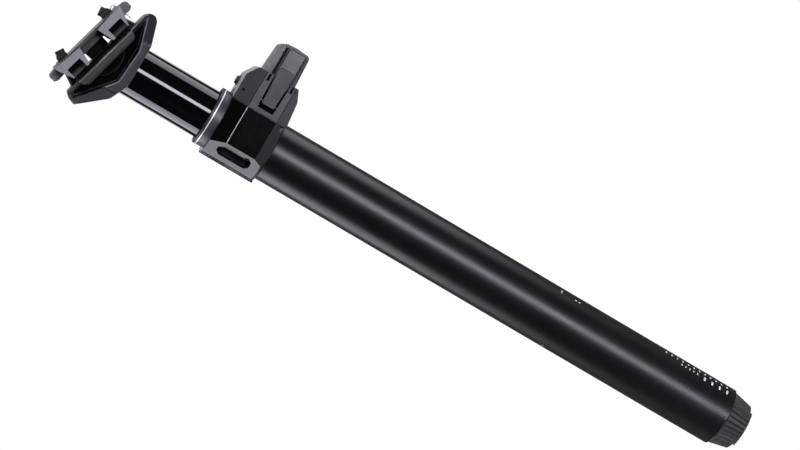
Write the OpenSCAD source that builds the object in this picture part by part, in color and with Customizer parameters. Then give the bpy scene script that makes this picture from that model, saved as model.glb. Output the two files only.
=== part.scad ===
// Wireless dropper seatpost. Millimetres, +Z up along the post, +X to the front where the battery sits.
// The origin is on the post's axis at the collar's lower face, where the frame's seat tube ends.

/* [Lower tube] */
// Outside diameter of the lower tube, which fits the seat tube
tube_d = 31.6; // [31.2:0.1:32]
// Wall of the lower tube
tube_wall = 1.5; // [1.3:0.1:1.6]
// Length of the lower tube below the collar
tube_drop = 274; // [260:1:320]
// Depth to which the lower tube enters the collar
tube_seat = 10; // [6:0.5:12]
// Width of the three keyways inside the lower tube
key_w = 4; // [3:0.1:5]
// Depth of the keyways
key_depth = 0.6; // [0.4:0.05:0.8]

/* [Stanchion] */
// Outside diameter of the stanchion
stanchion_d = 26.5; // [26:0.1:26.8]
// Wall of the stanchion
stanchion_wall = 1.8; // [1.5:0.1:2.4]
// Full travel of the saddle
travel = 150; // [125:1:155]
// Stanchion that shows between wiper and yoke as drawn
exposed = 42.6; // [36:0.2:60]
// Gap between wiper and yoke when the post is fully down
low_gap = 5.6; // [3:0.2:8]
// Stanchion left below the collar's lower face when the post is fully up
grip_len = 59; // [56:1:70]

/* [Collar] */
// Height of the collar
collar_h = 31.6; // [30:0.2:34]
// Half of the collar's width across the bike
collar_hw = 19; // [18.6:0.1:20]
// Distance from the axis to the collar's rear face
collar_rear = 17.2; // [17:0.1:18]
// Distance from the axis to the seam between collar and electronics box
seam_x = 13.7; // [13:0.1:14.5]
// Height of the lower bevel
low_bevel_h = 6.2; // [5:0.1:7]
// Half width of the collar at its lower face
foot_hw = 16.6; // [16.3:0.1:17]
// Drop of the upper bevel from the top
top_bevel_h = 8.8; // [8:0.1:9.5]
// Half width of the collar's top
top_hw = 15.9; // [15.4:0.1:17]
// Width of the flat rear face, between the two corner facets
rear_flat = 18.6; // [16:0.2:20]
// Radius of the countersunk step around the ring
step_r = 18.8; // [18.4:0.1:19.4]
// Depth of that step
step_h = 0.8; // [0.5:0.1:1.2]
// Width of the window in each rear corner facet
window_w = 8; // [6:0.2:9]
// Height of that window
window_h = 18.4; // [14:0.2:19]
// Depth of the window's pocket
window_depth = 3.4; // [2:0.1:3.6]
// Shift of the window along its facet towards the front
window_shift = 2.3; // [1.5:0.1:2.5]
// Thickness of the rear cover
cover_t = 1.5; // [1.2:0.1:2]

/* [Ring and seals] */
// Outside diameter of the collar ring
ring_d = 31.7; // [31:0.1:32.2]
// Height of the collar ring above the collar's top
ring_h = 3.4; // [3:0.1:4.5]
// Depth of the ring's threaded skirt in the collar
skirt_h = 5; // [4:0.2:6]
// Wall of the threaded skirt
skirt_wall = 1.2; // [1:0.05:1.4]
// Height of the bright trim ring
trim_h = 0.5; // [0.4:0.05:0.8]
// Height of the wiper's lip above the trim ring
lip_h = 1.5; // [1.2:0.1:2]
// Length of the upper bushing
bushing_h = 15; // [12:0.5:15.5]

/* [Bottom cap] */
// Height of the cap's smooth segments below the tube
cap_h = 10.6; // [9:0.2:13]
// Extra height of the ribbed segments
cap_rib_extra = 1.1; // [0.5:0.1:1.5]
// Diameter of the cap where it meets the tube
cap_top_d = 29.8; // [29:0.1:30.4]
// Diameter of the cap at its lower end
cap_low_d = 25.2; // [24:0.2:27]
// Number of grooves in each ribbed segment
cap_grooves = 9; // [7:1:11]
// Length of the cap's threaded skirt inside the tube
cap_skirt_h = 7; // [5:0.5:8]
// Length of the base plug inside the tube
plug_h = 12; // [10:0.5:16]

/* [Air spring] */
// Diameter of the fixed air shaft
shaft_d = 10; // [8:0.5:12]
// Bore of the air shaft
shaft_bore = 6; // [4:0.5:6.5]
// Length of the piston on the shaft
piston_h = 12; // [10:0.5:14]
// Length of the rubber top-out bumper below the piston
bumper_h = 6; // [4:0.5:8]
// Length of the seal head in the stanchion's lower end
head_h = 16; // [12:0.5:18]
// Length of the guide keys
key_len = 12; // [8:0.5:14]

/* [Electronics box] */
// Length of the electronics box in front of the seam
box_len = 20.3; // [19:0.1:23]
// Wall of the electronics box
box_wall = 1.8; // [1.5:0.1:2]
// Thickness of the gasket at the seam
gasket_t = 0.4; // [0.3:0.05:0.8]
// Length of the chamfer at the box's top front edge
nose_len = 6.2; // [5:0.2:8]
// Drop of that chamfer
nose_drop = 4; // [3:0.2:5]
// Rise of the box's bottom at its front
chin_rise = 4.8; // [3:0.2:5]
// Diameter of the function button
button_d = 4.6; // [4:0.1:5.5]
// Height of the button above the box
button_rise = 1.6; // [1.2:0.1:2.4]
// Place of the button across the box
button_y = 8; // [5:0.5:9]

/* [Battery] */
// Length of battery that stands out of the box
battery_out = 17.6; // [15:0.2:22]
// Depth of battery inside the box
battery_in = 4; // [3:0.1:4.4]
// Half of the battery's width
battery_hw = 17; // [16:0.1:17.1]
// Height of the battery's lower face
battery_low = 6.8; // [6.6:0.1:7.4]
// Height at which the battery's upper bevel starts
battery_side = 20.4; // [20:0.1:21]
// Height of the battery's top
battery_top = 24.6; // [24:0.1:25.4]
// Wall of the battery's case
battery_wall = 1.2; // [0.9:0.1:1.3]

/* [Latch] */
// Distance of the latch's rear end from the seam
latch_back = 4.9; // [4.6:0.1:5.4]
// Length of the latch
latch_len = 20.9; // [19:0.1:22]
// Height of the latch at its rear end
latch_low_h = 7.2; // [6.4:0.1:7.6]
// Height of the latch at its front end
latch_high_h = 9.4; // [8.8:0.1:9.8]
// Thickness of the latch
latch_t = 2.2; // [2:0.1:2.4]
// Height of the latch's middle above the collar's lower face
latch_z = 14.3; // [14:0.1:14.6]
// Diameter of the latch's pin
latch_pin_d = 1.2; // [1:0.1:1.3]
// Black gap around the latch
latch_gap = 0.4; // [0.3:0.05:0.6]

/* [Head] */
// Height of the tilt axis, where the rails cross, above the yoke's lower face
rail_rise = 20.8; // [20:0.1:22]
// Forward tilt of the clamp
clamp_tilt = 15; // [14:0.5:16]
// Half width of the yoke at the post
yoke_hw = 15; // [14.6:0.1:15.4]
// Half width of the yoke at its ends
yoke_tip_hw = 8.6; // [8:0.1:10]
// Half width of the yoke's web between its side pockets
web_hw = 8.4; // [8.2:0.1:9.5]
// Radius of the round seat in which the cradle turns
seat_r = 11.5; // [11.2:0.1:11.8]
// Diameter of the saddle rails
rail_d = 7; // [7:0.1:7.2]
// Spacing of the saddle rails
rail_span = 44; // [43:0.5:45]
// Half length of the rail grooves
rail_grip = 19; // [18.6:0.1:19.6]
// Height of the upper clamp's top above the rails' centre
clamp_top = 10.1; // [10:0.1:11]
// Half width of the clamp over its outer faces
clamp_hw = 27.5; // [27:0.1:29]
// Half length of the upper clamp with its ears
clamp_half_len = 27.2; // [26.6:0.1:28]

/* [Clamp bolts] */
// Diameter of the clamp bolts
bolt_d = 5; // [4.8:0.1:5.2]
// Half spacing of the barrel nuts
nut_e = 15.5; // [15:0.1:16]
// Height of the barrel nuts above the rails' centre
nut_n = 11; // [10.8:0.1:11.4]
// Splay of each bolt from the clamp's upright
bolt_splay = 19; // [18:0.5:20]
// Distance from barrel nut to the bolt's round head
bolt_reach = 22.5; // [22:0.1:22.8]
// Radius of the bolt's round head
head_r = 4; // [3.8:0.1:4.1]
// Radius of the barrel nut
nut_r = 3; // [2.9:0.05:3.1]

/* [Fits] */
// Radial clearance where the stanchion runs in its bushings
run_gap = 0.05; // [0.02:0.01:0.1]
// Radial clearance of pins, pivots and shafts
pivot_gap = 0.06; // [0.03:0.01:0.1]
// Clearance between glued, screwed or pressed pieces
bond_gap = 0.02; // [0.01:0.01:0.04]
// Clearance between covers and between pieces that pass each other
part_gap = 0.3; // [0.2:0.05:0.35]

/* [Hidden] */

$fn = 96;
small = 32;
eps = 0.01;

tube_r = tube_d / 2;
tube_ir = tube_r - tube_wall;
stanchion_r = stanchion_d / 2;
stanchion_ir = stanchion_r - stanchion_wall;
rise_left = travel - (exposed - low_gap);
stanchion_low = -(grip_len + rise_left);
tube_low = -tube_drop;

ring_r = ring_d / 2;
ring_low = collar_h - step_h;
ring_top = collar_h + ring_h;
trim_top = ring_top + trim_h;
wiper_top = trim_top + lip_h;
yoke_z = wiper_top + exposed;
skirt_r = tube_ir + skirt_wall;
skirt_low = ring_low - skirt_h;
neck_r = tube_r - 0.3;
boss_r = skirt_r + 1.1;
wiper_r = tube_ir + 0.6;
window_mid = collar_h / 2;
bushing_top = skirt_low - 0.5;

facet_x = collar_rear - (collar_hw - rear_flat / 2);
facet_d = (facet_x + collar_hw) / sqrt(2);
side_top = collar_h - top_bevel_h;

shaft_r = shaft_d / 2;
bumper_low = -(grip_len - head_h) + 0.5;
piston_low = bumper_low + bumper_h;
seal_places = [piston_low + 3, piston_low + piston_h - 3];
head_seal_z = stanchion_low + head_h / 2;
plug_top = tube_low + cap_skirt_h + plug_h;
skirt_top = tube_low + cap_skirt_h;
key_z = stanchion_low + 2;
shaft_low = skirt_top + 5;
valve_r = 3.9;
valve_low = tube_low - 5;
cap_face_gap = 0.05;
cap_bore = 9;
cap_groove_r = 0.55;

box_x = seam_x + gasket_t;
box_front = seam_x + box_len;
bay_x = box_front - battery_in - part_gap;
battery_x = box_front - battery_in;
battery_front = box_front + battery_out;
button_x = box_front - nose_len - 4.6;
battery_z = (battery_low + battery_top) / 2;
battery_cell_hw = battery_hw - 3.5;
cell_h = battery_top - battery_low - 2 * battery_wall - 0.9;
groove_deep = latch_t + battery_hw - collar_hw + 0.4;

cavity_x = bay_x - box_wall;
cavity_hw = collar_hw - 5.4;
cavity_low = 3;
cavity_high = collar_h - 2.5;
screw_r = 0.8;
screw_head_r = 1.3;
screw_head_h = 1.3;
screw_x = 7;
screw_y = collar_hw - 3.6;
screw_len = bay_x - 0.2 - screw_x;
seam_line = 0.45;
notch_h = 1.1;
screw_zs = [latch_z - latch_low_h / 2 - 1.7, battery_side - 1.5];
board_t = 1;
board_x = cavity_x - board_t - 0.1;
contact_ys = [-9, -6, -3, 0];
contact_z = 21;
lens_r = 0.7;

gear_module = 0.45;
pinion_teeth = 9;
gear_teeth = 24;
gear_y = 4.6;
gear_width = 2.6;
gear_pin_r = 0.8;
motor_r = 4;
motor_len = 14;
motor_z = 9.4;
drive_x = cavity_x - 6;
drive_z = motor_z + (pinion_teeth + gear_teeth) * gear_module / 2 + 0.1;
cam_r = 3;
cam_throw = 0.7;
valve_y = gear_y + gear_width + 1.5;
plunger_r = 1.2;
plunger_low = tube_ir - 0.8;

beam_hw = 21;
block_in = 8.2;
web_top = 6;
latch_bow_r = 26;
latch_x = seam_x + latch_back;
latch_front = latch_x + latch_len;
latch_pin_half = 6.8;
pivot_x = latch_x + 1.6;
pivot_y = -(collar_hw - latch_t / 2);

tilt_z = yoke_z + rail_rise;
rail_r = rail_d / 2;
rail_y = rail_span / 2;
bar_half = rail_grip - 1.4;
nut_w = 9;

// The yoke's outline seen from the side: x forward, z above its lower face.
yoke_outline = [[-8.0, 0], [14.9, 0], [27.5, 3.6], [29.6, 5.6], [29.2, 8.9], [27.4, 10.7],
  [-25.8, 24.9], [-28.4, 22.4], [-29.9, 18.6], [-18.1, 4.6]];
yoke_pocket = [[-26.6, 20.8], [-25, 22.9], [21.5, 10.5], [25.4, 8.7], [9.8, 4.3], [-8.5, 5.7]];
socket_h = 5;
plug_len = 8;
yoke_side_x = 15;
yoke_tip_x = 29;
yoke_end_x = 30.6;

// Shared shapes

// A ring of rectangular section.
module sleeve(outer, inner, low, high) {
  translate([0, 0, low]) difference() {
    cylinder(r = outer, h = high - low);
    translate([0, 0, -1]) cylinder(r = inner, h = high - low + 2);
  }
}

// A round seal of circular section, centred at radius r.
module o_ring(r, section, z) {
  translate([0, 0, z]) rotate_extrude() translate([r, 0]) circle(r = section, $fn = small);
}

// An outline drawn across the bike (y, z), drawn out along x.
module along_x(from, to) {
  translate([from, 0, 0]) rotate([90, 0, 90]) linear_extrude(to - from) children();
}

// An outline drawn from the side (x, z), drawn out across the bike.
module along_y(from, to) {
  translate([0, to, 0]) rotate([90, 0, 0]) linear_extrude(to - from) children();
}

module both_sides() {
  children();
  mirror([0, 1, 0]) children();
}

// Cross-section shared by the collar and the electronics box.
module collar_section() {
  polygon([[-foot_hw, 0], [foot_hw, 0], [collar_hw, low_bevel_h], [collar_hw, side_top],
    [top_hw, collar_h], [-top_hw, collar_h], [-collar_hw, side_top], [-collar_hw, low_bevel_h]]);
}

// The countersunk step around the ring, with its cone.
module ring_step() {
  translate([0, 0, ring_low]) cylinder(r1 = step_r, r2 = step_r + 1, h = step_h);
  translate([0, 0, collar_h - eps]) cylinder(r = step_r + 1, h = 1);
}

// Collar and lower tube

module key_slots(r, width, low, high) {
  for (a = [60, 180, 300])
    rotate([0, 0, a]) translate([0, -width / 2, low]) cube([r, width, high - low]);
}

module lower_tube() {
  color("#1c1c1e") difference() {
    union() {
      translate([0, 0, tube_low + 0.6]) cylinder(r = tube_r, h = tube_drop - 0.6);
      translate([0, 0, -1]) cylinder(r = neck_r, h = tube_seat + 1);
      translate([0, 0, tube_low]) cylinder(r1 = tube_r - 0.6, r2 = tube_r, h = 0.6);
    }
    translate([0, 0, tube_low - 1]) cylinder(r = tube_ir, h = tube_drop + tube_seat + 2);
    key_slots(tube_ir + key_depth, key_w, plug_top + 2, -grip_len + key_len + 10);
  }
}

// One corner window, cut square into the facet.
module window_pocket() {
  rotate([0, 0, 225]) translate([facet_d - window_depth, window_shift - window_w / 2, 0])
    rotate([90, 0, 90]) linear_extrude(window_depth + 2)
      polygon([[0, window_mid - window_h / 2 + 2], [2, window_mid - window_h / 2],
        [window_w - 2.4, window_mid - window_h / 2], [window_w, window_mid - window_h / 2 + 2.4],
        [window_w, window_mid + window_h / 2 - 5], [window_w - 3.4, window_mid + window_h / 2],
        [2, window_mid + window_h / 2], [0, window_mid + window_h / 2 - 2]]);
}

module collar_body() {
  color("#101012") difference() {
    union() {
      intersection() {
        along_x(-collar_rear, seam_x) collar_section();
        linear_extrude(collar_h) polygon([[seam_x, collar_hw + 1], [-facet_x, collar_hw + 1],
          [-facet_x, collar_hw], [-collar_rear, rear_flat / 2], [-collar_rear, -rear_flat / 2],
          [-facet_x, -collar_hw], [-facet_x, -collar_hw - 1], [seam_x, -collar_hw - 1]]);
        cylinder(r1 = foot_hw, r2 = foot_hw + collar_h * 1.6, h = collar_h);
      }
      cylinder(r = boss_r, h = collar_h);
    }
    translate([0, 0, -1]) cylinder(r = neck_r + bond_gap, h = tube_seat + 1 + bond_gap);
    cylinder(r = tube_ir, h = collar_h);
    translate([0, 0, skirt_low]) cylinder(r = skirt_r + bond_gap, h = collar_h);
    ring_step();
    both_sides() window_pocket();
    box_screw_places() cylinder(r = screw_r + bond_gap, h = screw_len + 0.5);
    translate([0, valve_y, drive_z]) rotate([0, 90, 0])
      cylinder(r = plunger_r + pivot_gap, h = collar_hw + 5);
  }
}

module rear_cover() {
  notch = 1.2;
  color("#3a3a3e") difference() {
    along_x(-collar_rear - cover_t, -collar_rear) polygon([[-rear_flat / 2 + 1, 0.6],
      [rear_flat / 2 - 1, 0.6], [rear_flat / 2, 1.6], [rear_flat / 2, ring_low - 1],
      [rear_flat / 2 - 1, ring_low], [-rear_flat / 2 + 1, ring_low], [-rear_flat / 2, ring_low - 1],
      [-rear_flat / 2, 1.6]]);
    both_sides() for (z = [1.6, 27])
      translate([-collar_rear - cover_t - 1, rear_flat / 2 - notch, z]) cube([cover_t + 2, 3, 6]);
    both_sides() for (i = [0:5])
      translate([-collar_rear - cover_t - 1, rear_flat / 2 - notch, 17.6 + i * 1.5])
        cube([cover_t + 2, 3, 0.8]);
  }
}

module collar_ring() {
  seal_seat = ring_low + 0.8;
  color("#2a2a2d") difference() {
    union() {
      sleeve(skirt_r, tube_ir, skirt_low + 0.2, ring_low + 0.2);
      sleeve(ring_r, tube_ir, ring_low, ring_top);
    }
    translate([0, 0, seal_seat]) cylinder(r = wiper_r + bond_gap, h = ring_h + 5);
  }
}

module trim_ring() {
  color("#d8d8da") sleeve(ring_r + 0.2, wiper_r + bond_gap, ring_top, trim_top);
}

module wiper_seal() {
  bore = stanchion_r + run_gap;
  color("#151516") rotate_extrude() polygon([[bore, ring_low + 1], [wiper_r, ring_low + 1],
    [wiper_r, trim_top], [ring_r + 0.1, trim_top], [ring_r + 0.1, wiper_top - 0.3],
    [ring_r - 0.2, wiper_top], [ring_r - 0.9, wiper_top], [bore + 0.5, trim_top + 0.3],
    [bore, trim_top + 0.3]]);
}

module foam_ring() {
  color("#4a4a4c") sleeve(tube_ir - bond_gap, stanchion_r + run_gap, skirt_low + 0.2, ring_low + 0.8);
}

module upper_bushing() {
  color("#3c3c34") sleeve(tube_ir - bond_gap, stanchion_r + run_gap, bushing_top - bushing_h, bushing_top);
}

// Stanchion and what rides in it

module stanchion() {
  color("#08080a") difference() {
    translate([0, 0, stanchion_low])
      cylinder(r = stanchion_r, h = yoke_z + socket_h - stanchion_low);
    translate([0, 0, stanchion_low - 1])
      cylinder(r = stanchion_ir, h = yoke_z + socket_h - stanchion_low + 2);
    key_pockets(bond_gap) cube(1);
  }
}

// The three keys as blocks that stand from the stanchion's pockets into the keyways.
module key_pockets(grow) {
  deep = stanchion_r - 0.9;
  for (a = [60, 180, 300]) rotate([0, 0, a])
    translate([deep, -key_w / 2 + 0.1 - grow, key_z - grow])
      cube([tube_ir + key_depth - 0.1 - deep, key_w - 0.2 + 2 * grow, key_len + 2 * grow]);
}

module guide_keys() {
  color("#b08d3c") key_pockets(0);
}

module lower_bushing() {
  low = key_z + key_len + 2;
  color("#3c3c34") sleeve(tube_ir - run_gap, stanchion_r + bond_gap, low, low + bushing_h);
}

module seal_head() {
  color("#8a8d92") difference() {
    union() {
      translate([0, 0, stanchion_low]) cylinder(r = stanchion_ir - bond_gap, h = head_h);
      translate([0, 0, stanchion_low - 2]) cylinder(r = stanchion_r, h = 2);
    }
    translate([0, 0, stanchion_low - 3]) cylinder(r = shaft_r + run_gap, h = head_h + 4);
    translate([0, 0, head_seal_z - 1]) cylinder(r = shaft_r + run_gap + 1.9, h = 2);
  }
}

module shaft_seal() {
  color("#26262a") o_ring(shaft_r + run_gap + 0.95, 0.94, head_seal_z);
}

module top_plug() {
  color("#8a8d92") translate([0, 0, yoke_z - plug_len])
    cylinder(r = stanchion_ir - bond_gap, h = plug_len + socket_h);
}

// Air spring fixed to the lower tube

module air_shaft() {
  color("#b9bcc2") sleeve(shaft_r, shaft_bore / 2, shaft_low, piston_low + piston_h - 3);
}

module air_piston() {
  color("#8a8d92") difference() {
    translate([0, 0, piston_low]) cylinder(r = stanchion_ir - 0.15, h = piston_h);
    translate([0, 0, piston_low - 1]) cylinder(r = shaft_r + bond_gap, h = piston_h - 2 + bond_gap);
    for (z = seal_places) sleeve(stanchion_ir, stanchion_ir - 2.1, z - 1.05, z + 1.05);
    translate([0, 0, piston_low]) cylinder(r = 1, h = piston_h + 1);
  }
}

module piston_seals() {
  color("#26262a") for (z = seal_places) o_ring(stanchion_ir - run_gap - 1, 1, z);
}

module top_out_bumper() {
  color("#7a2f28") sleeve(stanchion_ir - 2.4, shaft_r + bond_gap, bumper_low, piston_low);
}

module base_plug() {
  color("#8a8d92") difference() {
    translate([0, 0, skirt_top]) cylinder(r = tube_ir - bond_gap, h = plug_h);
    translate([0, 0, shaft_low]) cylinder(r = shaft_r + bond_gap, h = plug_h);
    translate([0, 0, skirt_top - 1]) cylinder(r = valve_r + bond_gap, h = 5 + bond_gap);
    translate([0, 0, skirt_top - 1]) cylinder(r = 1, h = plug_h);
    sleeve(tube_ir + 1, tube_ir - 2, plug_top - 4.1, plug_top - 2.1);
  }
}

module plug_seal() {
  color("#26262a") o_ring(tube_ir - 0.97, 0.95, plug_top - 3.1);
}

module air_valve() {
  color("#c9a44c") difference() {
    translate([0, 0, valve_low]) cylinder(r = valve_r, h = skirt_top + 4 - valve_low);
    translate([0, 0, valve_low - 1]) cylinder(r = 2.6, h = 7);
    translate([0, 0, valve_low]) cylinder(r = 1 + pivot_gap, h = 20);
  }
}

module valve_pin() {
  color("#c9a44c") translate([0, 0, valve_low + 1]) {
    cylinder(r = 1, h = 9);
    cylinder(r = 1.8, h = 1);
  }
}

// Bottom cap with two ribbed and two smooth segments

module cap_cone(low, grow) {
  slope = (cap_top_d - cap_low_d) / 2 / cap_h;
  high = tube_low - cap_face_gap;
  translate([0, 0, low]) cylinder(r1 = cap_top_d / 2 - slope * (high - low) + grow,
    r2 = cap_top_d / 2 + grow, h = high - low);
}

module cap_wedge(half) {
  start = 5;
  reach = 30;
  both_sides() linear_extrude(60, center = true)
    polygon([[-start * tan(half), -start], [-reach * tan(half), -reach],
      [reach * tan(half), -reach], [start * tan(half), -start]]);
}

module bottom_cap() {
  ribbed_low = tube_low - cap_h - cap_rib_extra;
  half = 47;
  pitch = 2 * (half - 4) / (cap_grooves - 1);
  color("#2c2c2f") difference() {
    union() {
      cap_cone(tube_low - cap_h, 0);
      intersection() {
        cap_cone(ribbed_low, 0.35);
        translate([0, 0, tube_low]) cap_wedge(half);
      }
      sleeve(tube_ir - pivot_gap, cap_bore, tube_low - 1, skirt_top - part_gap);
    }
    both_sides() for (i = [0:cap_grooves - 1]) rotate([0, 0, -90 - half + 4 + i * pitch])
      translate([cap_low_d / 2 - 0.1, 0, ribbed_low - 1])
        rotate([0, atan((cap_top_d - cap_low_d) / 2 / cap_h), 0])
          cylinder(r = cap_groove_r, h = 2 * cap_h, $fn = 4);
    translate([0, 0, tube_low - cap_h + 2.4]) cylinder(r = cap_bore, h = 40);
    sleeve(tube_ir + 2, tube_ir - 1.5, skirt_top - 3.2, skirt_top - 1.6);
  }
}

module cap_seal() {
  color("#26262a") o_ring(tube_ir - 0.75, 0.7, skirt_top - 2.4);
}

// Electronics box and what it holds

// The box's outline from the side, with its nose chamfer and rising chin.
module box_profile() {
  polygon([[box_x, 0], [box_x + 2, 0.5], [box_front - nose_len, 1.9], [box_front, chin_rise],
    [box_front, collar_h - nose_drop], [box_front - nose_len, collar_h], [box_x, collar_h]]);
}

// The battery's cross-section, grown all round by a clearance.
module battery_section(grow) {
  polygon([[-battery_hw - grow, battery_low + 1.4 - grow], [-battery_hw + 1.4, battery_low - grow],
    [battery_hw - 1.4, battery_low - grow], [battery_hw + grow, battery_low + 1.4 - grow],
    [battery_hw + grow, battery_side], [battery_hw - 4.2 + grow, battery_top + grow],
    [-battery_hw + 4.2 - grow, battery_top + grow], [-battery_hw - grow, battery_side]]);
}

// The recess in the box's side in which the latch swings.
module latch_recess() {
  back = latch_x - 2.3;
  along_y(-collar_hw - 1, -collar_hw + latch_t + 1)
    polygon([[back, latch_z - latch_low_h / 2 - latch_gap - 0.3],
      [box_front + 1, latch_z - latch_high_h / 2 - latch_gap],
      [box_front + 1, latch_z + latch_high_h / 2 + latch_gap],
      [back, latch_z + latch_low_h / 2 + latch_gap + 0.3]]);
}

module box_screw_places() {
  both_sides() for (z = screw_zs)
    translate([screw_x, screw_y, z]) rotate([0, 90, 0]) children();
}

module electronics_box() {
  color("#3b3b3e") difference() {
    intersection() {
      along_x(box_x, box_front) collar_section();
      along_y(-collar_hw, collar_hw) box_profile();
    }
    translate([0, 0, -1]) cylinder(r = boss_r + pivot_gap, h = collar_h + 2);
    translate([box_x - 1, -cavity_hw, cavity_low])
      cube([cavity_x - box_x + 1, 2 * cavity_hw, cavity_high - cavity_low]);
    along_x(bay_x, box_front + 1) battery_section(part_gap);
    latch_recess();
    ring_step();
    both_sides() for (z = [low_bevel_h - seam_line, side_top])
      translate([box_x + 1, -collar_hw - 1, z])
        cube([box_len - 2, 1 + seam_line, seam_line]);
    for (z = [battery_low + 0.4, battery_side + 0.1])
      translate([battery_x, -collar_hw - 1, z]) cube([box_len, 3.6, notch_h]);
    translate([pivot_x, pivot_y, latch_z - latch_pin_half - 0.2])
      cylinder(r = latch_pin_d / 2 + bond_gap, h = 2 * latch_pin_half + 0.4);
    box_screw_places() {
      cylinder(r = screw_r + bond_gap, h = 40);
      translate([0, 0, screw_len - screw_head_h]) cylinder(r = screw_head_r + bond_gap, h = 10);
    }
    for (y = contact_ys) translate([cavity_x - 1, y, contact_z]) rotate([0, 90, 0])
      cylinder(r = 0.5 + bond_gap, h = box_wall + 3);
    translate([button_x, button_y, cavity_high - 1])
      cylinder(r = button_d / 2 + pivot_gap, h = 10);
    lens_place() translate([0, 0, -6]) cylinder(r = lens_r + bond_gap, h = 8);
    translate([drive_x, 0, drive_z]) rotate([-90, 0, 0])
      cylinder(r = gear_pin_r + bond_gap, h = cavity_hw + 1.5);
  }
}

module box_gasket() {
  color("#141415") difference() {
    along_x(seam_x, box_x) intersection() {
      collar_section();
      translate([-collar_hw, 0.4]) square([2 * collar_hw, ring_low - 0.8]);
    }
    translate([0, 0, -1]) cylinder(r = boss_r + pivot_gap, h = collar_h + 2);
    translate([seam_x - 1, -cavity_hw, cavity_low])
      cube([3, 2 * cavity_hw, cavity_high - cavity_low]);
    box_screw_places() cylinder(r = screw_r + bond_gap, h = 40);
    ring_step();
  }
}

module box_screws() {
  color("#55565a") box_screw_places() difference() {
    union() {
      cylinder(r = screw_r, h = screw_len);
      translate([0, 0, screw_len - screw_head_h]) cylinder(r = screw_head_r, h = screw_head_h);
    }
    translate([0, 0, screw_len - 0.7]) cylinder(r = 0.55, h = 1, $fn = 6);
  }
}

module circuit_board() {
  color("#1f5a38") translate([board_x, -cavity_hw + 0.1, drive_z - 1.5])
    cube([board_t, cavity_hw + 3.4, cavity_high - drive_z - 1.5]);
}

module servo_motor() {
  color("#9a9ca0") translate([drive_x, -cavity_hw, motor_z]) rotate([-90, 0, 0]) {
    cylinder(r = motor_r, h = motor_len);
    cylinder(r = 0.8, h = motor_len + 7);
  }
}

// A plain spur gear with straight-sided teeth and generous backlash.
module spur(teeth, width) {
  pitch_r = teeth * gear_module / 2;
  step = 360 / teeth;
  root = pitch_r - 1.15 * gear_module;
  tip = pitch_r + 0.75 * gear_module;
  linear_extrude(width) polygon([for (i = [0:teeth - 1], k = [0:3])
    let (a = i * step + step * [-0.3, -0.1, 0.1, 0.3][k], r = [root, tip, tip, root][k])
      [r * cos(a), r * sin(a)]]);
}

module motor_pinion() {
  color("#c0a050") translate([drive_x, gear_y, motor_z]) rotate([-90, 0, 0]) difference() {
    rotate([0, 0, 90]) spur(pinion_teeth, gear_width);
    translate([0, 0, -1]) cylinder(r = 0.8 + pivot_gap, h = gear_width + 2);
  }
}

module drive_gear() {
  color("#d9d6cc") translate([drive_x, gear_y, drive_z]) rotate([-90, 0, 0]) difference() {
    union() {
      rotate([0, 0, 90]) spur(gear_teeth, gear_width);
      translate([0, -cam_throw, gear_width]) cylinder(r = cam_r, h = 3);
    }
    translate([0, 0, -1]) cylinder(r = gear_pin_r + pivot_gap, h = gear_width + 6);
  }
}

module gear_pin() {
  color("#b9bcc2") translate([drive_x, gear_y - 1, drive_z]) rotate([-90, 0, 0])
    cylinder(r = gear_pin_r, h = cavity_hw + 1.5 - gear_y + 1);
}

module valve_plunger() {
  tip_x = drive_x - cam_r - 0.1;
  color("#b9bcc2") translate([plunger_low, valve_y, drive_z]) rotate([0, 90, 0])
    cylinder(r = plunger_r, h = tip_x - plunger_low);
}

module contact_pins() {
  color("#d8b860") for (y = contact_ys) translate([board_x + board_t, y, contact_z])
    rotate([0, 90, 0]) cylinder(r = 0.5, h = battery_x - 0.05 - board_x - board_t, $fn = small);
}

module function_button() {
  color("#202022") translate([button_x, button_y, 0]) {
    translate([0, 0, cavity_high - 1.2]) cylinder(r = button_d / 2 + 0.5, h = 1.15);
    translate([0, 0, cavity_high - 1])
      cylinder(r = button_d / 2, h = collar_h + button_rise - 0.4 - cavity_high + 1);
    translate([0, 0, collar_h + button_rise - 0.4])
      cylinder(r1 = button_d / 2, r2 = button_d / 2 - 0.4, h = 0.4);
  }
}

module button_seal() {
  color("#19191b") translate([button_x, button_y, 0])
    sleeve(button_d / 2 + 0.8, button_d / 2 + pivot_gap, collar_h, collar_h + 0.4);
}

// The place of the status lens, square to the upper bevel on the latch's side.
module lens_place() {
  lean = atan(top_bevel_h / (collar_hw - top_hw));
  lens_z = collar_h - 2.6;
  lens_y = top_hw + (collar_h - lens_z) * (collar_hw - top_hw) / top_bevel_h;
  translate([box_x + 6, -lens_y, lens_z]) rotate([lean, 0, 0]) children();
}

module status_lens() {
  color("#4d6b5a") lens_place() translate([0, 0, -2]) cylinder(r = lens_r, h = 2.05, $fn = small);
}

module latch() {
  color("#2e2e31") difference() {
    along_y(-collar_hw, -collar_hw + latch_t) intersection() {
      polygon([[latch_x, latch_z - latch_low_h / 2], [latch_front, latch_z - latch_high_h / 2],
        [latch_front, latch_z + latch_high_h / 2], [latch_x, latch_z + latch_low_h / 2]]);
      translate([latch_front - latch_bow_r, latch_z]) circle(r = latch_bow_r);
    }
    translate([pivot_x, pivot_y, 0]) cylinder(r = latch_pin_d / 2 + pivot_gap, h = 40);
  }
}

module latch_pin() {
  color("#b9bcc2") translate([pivot_x, pivot_y, latch_z - latch_pin_half])
    cylinder(r = latch_pin_d / 2, h = 2 * latch_pin_half);
}

// Battery

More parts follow.
